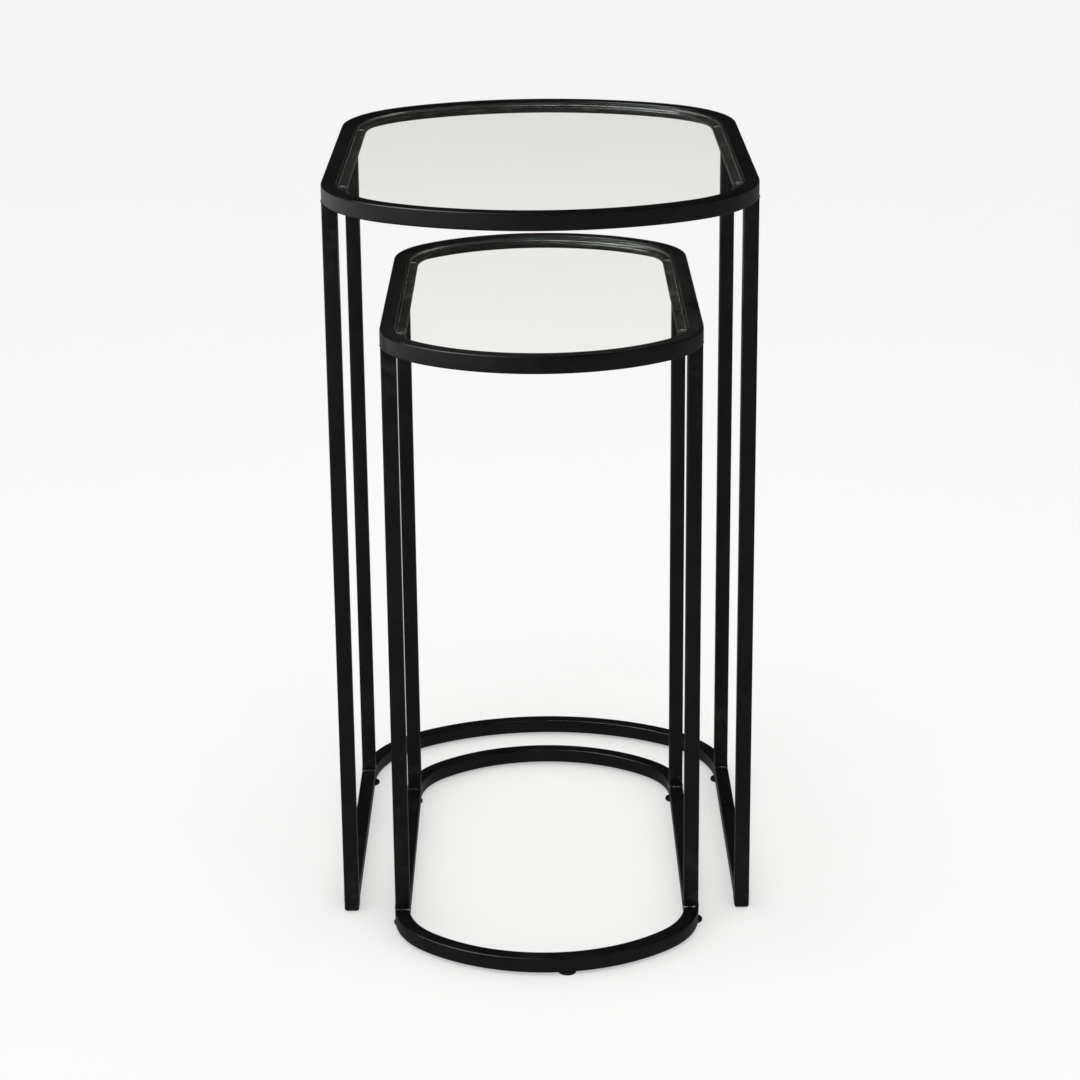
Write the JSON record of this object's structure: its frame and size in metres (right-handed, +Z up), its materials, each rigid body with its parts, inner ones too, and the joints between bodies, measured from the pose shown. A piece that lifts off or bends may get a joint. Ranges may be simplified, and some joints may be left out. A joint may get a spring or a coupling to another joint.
{
  "type": "nesting tables",
  "caption": "Nest of two side tables with black square-tube steel frames, round-ended tops of clear glass, and a large base rail open at the front so the small table slides under.",
  "frame": {"origin": "on the floor, under the middle of the nested pair", "axes": "+Z up; -Y towards the open front, from which the small table slides out; +X to the right as seen from the front"},
  "size_m": [0.335, 0.5, 0.61],
  "materials": {
    "powder_coat": "satin black powder coat",
    "glass": "clear float glass with ground edges",
    "clear_bumper": "clear soft silicone",
    "black_nylon": "moulded black nylon"
  },
  "bodies": {
    "large_frame": {"large_top_ring": "powder_coat", "large_glass_ledge": "powder_coat", "large_leg_front_left": "powder_coat", "large_leg_front_right": "powder_coat", "large_leg_back_left": "powder_coat", "large_leg_back_right": "powder_coat", "large_bumper_front_left": "clear_bumper", "large_bumper_front_right": "clear_bumper", "large_bumper_back_left": "clear_bumper", "large_bumper_back_right": "clear_bumper", "large_base_rail": "powder_coat", "large_glide_back_left": "black_nylon", "large_glide_back_right": "black_nylon", "large_foot_plug_front_left": "black_nylon", "large_foot_plug_front_right": "black_nylon"},
    "large_glass": {"large_glass_top": "glass"},
    "small_frame": {"small_top_ring": "powder_coat", "small_glass_ledge": "powder_coat", "small_leg_front_left": "powder_coat", "small_leg_front_right": "powder_coat", "small_leg_back_left": "powder_coat", "small_leg_back_right": "powder_coat", "small_bumper_front_left": "clear_bumper", "small_bumper_front_right": "clear_bumper", "small_bumper_back_left": "clear_bumper", "small_bumper_back_right": "clear_bumper", "small_base_ring": "powder_coat", "small_glide_front_left": "black_nylon", "small_glide_front_right": "black_nylon", "small_glide_front_middle": "black_nylon", "small_glide_back_left": "black_nylon", "small_glide_back_right": "black_nylon"},
    "small_glass": {"small_glass_top": "glass"}
  },
  "joints": [
    {"name": "small_table_slide", "type": "slide", "parent": "large_frame", "child": "small_frame", "axis": [0, -1, 0], "range_m": [-0.054, 0.46]},
    {"name": "large_glass_lift", "type": "slide", "parent": "large_frame", "child": "large_glass", "axis": [0, 0, 1], "range_m": [0, 0.3]},
    {"name": "small_glass_lift", "type": "slide", "parent": "small_frame", "child": "small_glass", "axis": [0, 0, 1], "range_m": [0, 0.085]}
  ]
}
